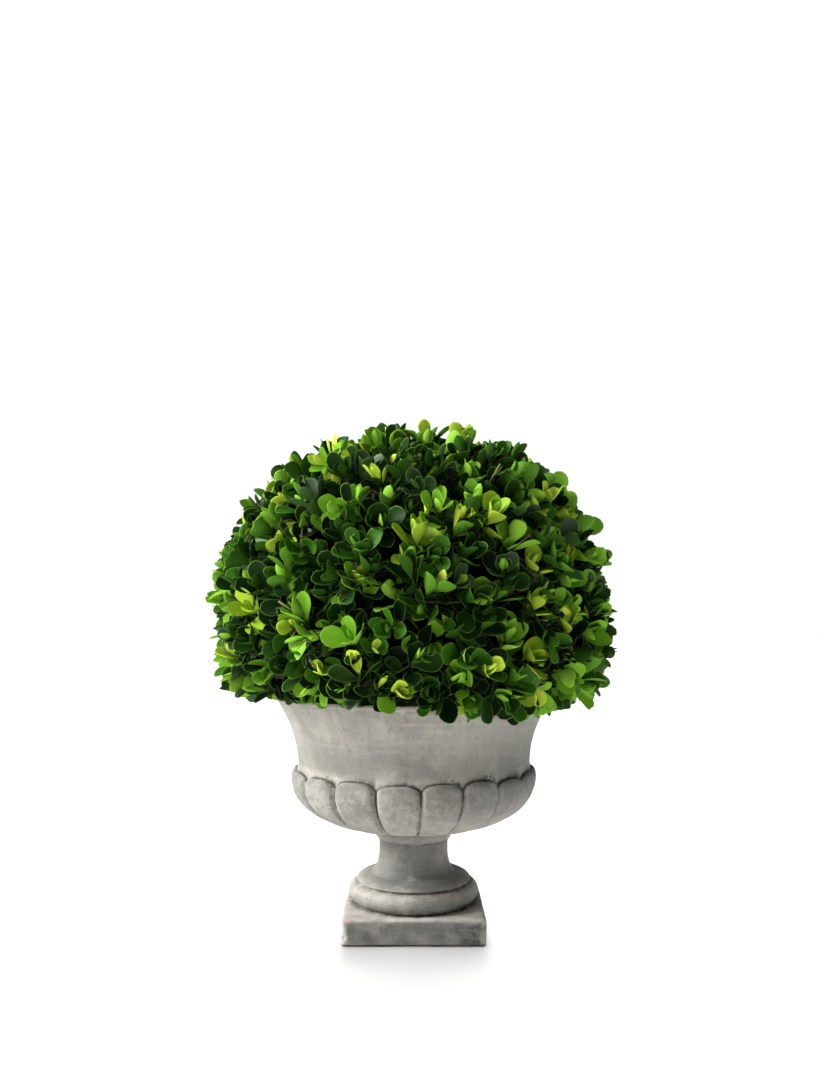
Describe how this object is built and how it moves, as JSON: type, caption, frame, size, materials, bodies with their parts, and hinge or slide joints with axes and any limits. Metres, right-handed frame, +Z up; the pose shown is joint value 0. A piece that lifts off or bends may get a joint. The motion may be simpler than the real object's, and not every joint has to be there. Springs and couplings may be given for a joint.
{
  "type": "box topiary ball in a pedestal urn",
  "caption": "Clipped ball of small-leaved box foliage standing in a small grey-washed terracotta urn with a gadrooned bowl, turned foot and square plinth.",
  "frame": {"origin": "centre of the plinth's flat underside, on the surface that the urn stands on", "axes": "+Z up along the urn's turning axis, +X to the right and -Y to the front, square with the plinth's sides"},
  "size_m": [0.3408, 0.3393, 0.4104],
  "materials": {
    "washed_terracotta": "matte",
    "filling": "matte",
    "bark": "matte",
    "foliage": "satin"
  },
  "bodies": {
    "root": {"urn": "washed_terracotta", "filling": "filling", "stem": "bark", "foliage_ball": "foliage"}
  },
  "joints": []
}
